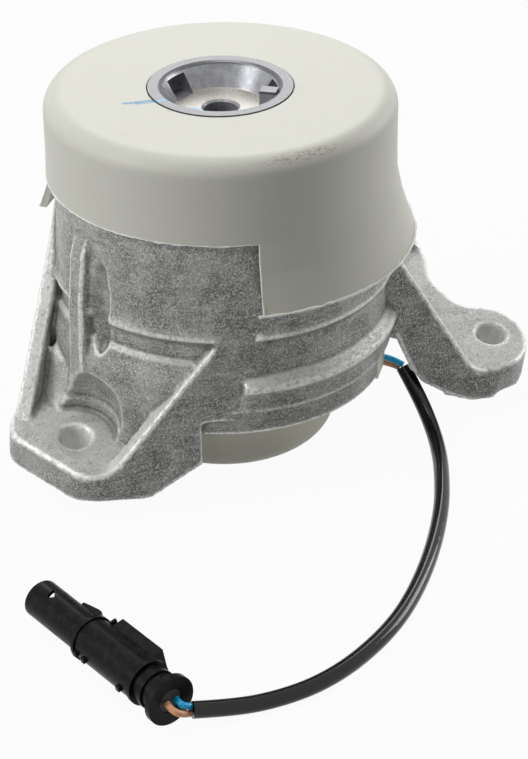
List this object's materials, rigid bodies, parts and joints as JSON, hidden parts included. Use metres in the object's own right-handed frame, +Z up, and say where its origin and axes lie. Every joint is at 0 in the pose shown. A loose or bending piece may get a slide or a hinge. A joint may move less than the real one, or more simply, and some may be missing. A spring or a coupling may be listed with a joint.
{
  "type": "engine mount",
  "caption": "Hydraulic engine mount: cast housing with two bolt feet, moulded cover over a threaded core, bottom can and a short lead with a plug.",
  "frame": {"origin": "centre of the bottom can's flat face, on the mount axis", "axes": "+Z up along the mount axis towards the threaded core, +X along the line through the two foot holes, from the left foot to the right one"},
  "size_m": [0.1921, 0.2011, 0.115],
  "materials": {
    "cover_plastic": "matte moulded",
    "cast_alloy": "as cast, blasted",
    "core_alloy": "as cast, satin",
    "plate_alloy": "satin",
    "spring_rubber": "matte",
    "zinced_steel": "satin",
    "can_plastic": "matte moulded",
    "bobbin_plastic": "matte",
    "copper_wire": "enamelled",
    "bush_metal": "satin",
    "blue_insulation": "semi-gloss",
    "brown_insulation": "semi-gloss",
    "black_sleeving": "gloss",
    "plug_plastic": "satin",
    "pin_metal": "tinned"
  },
  "bodies": {
    "root": {"top_cover": "cover_plastic", "core": "core_alloy", "main_spring": "spring_rubber", "spring_ring": "zinced_steel", "stop_plate": "zinced_steel", "housing": "cast_alloy", "upper_channel_plate": "plate_alloy", "decoupler_membrane": "spring_rubber", "lower_channel_plate": "plate_alloy", "bellows": "spring_rubber", "bottom_can": "can_plastic", "retaining_ring": "zinced_steel", "solenoid_yoke": "zinced_steel", "yoke_plate": "zinced_steel", "pole_core": "zinced_steel", "guide_bush": "bush_metal", "coil_bobbin": "bobbin_plastic", "coil_winding": "copper_wire", "plunger": "zinced_steel", "plunger_cap": "bobbin_plastic", "plunger_spring": "zinced_steel", "wire_grommet": "spring_rubber", "cable_sleeve": "black_sleeving", "wire_blue": "blue_insulation", "wire_brown": "brown_insulation", "connector_body": "plug_plastic", "connector_lock": "plug_plastic", "connector_cap": "plug_plastic", "wire_seal": "spring_rubber", "connector_pins": "pin_metal"}
  },
  "joints": []
}
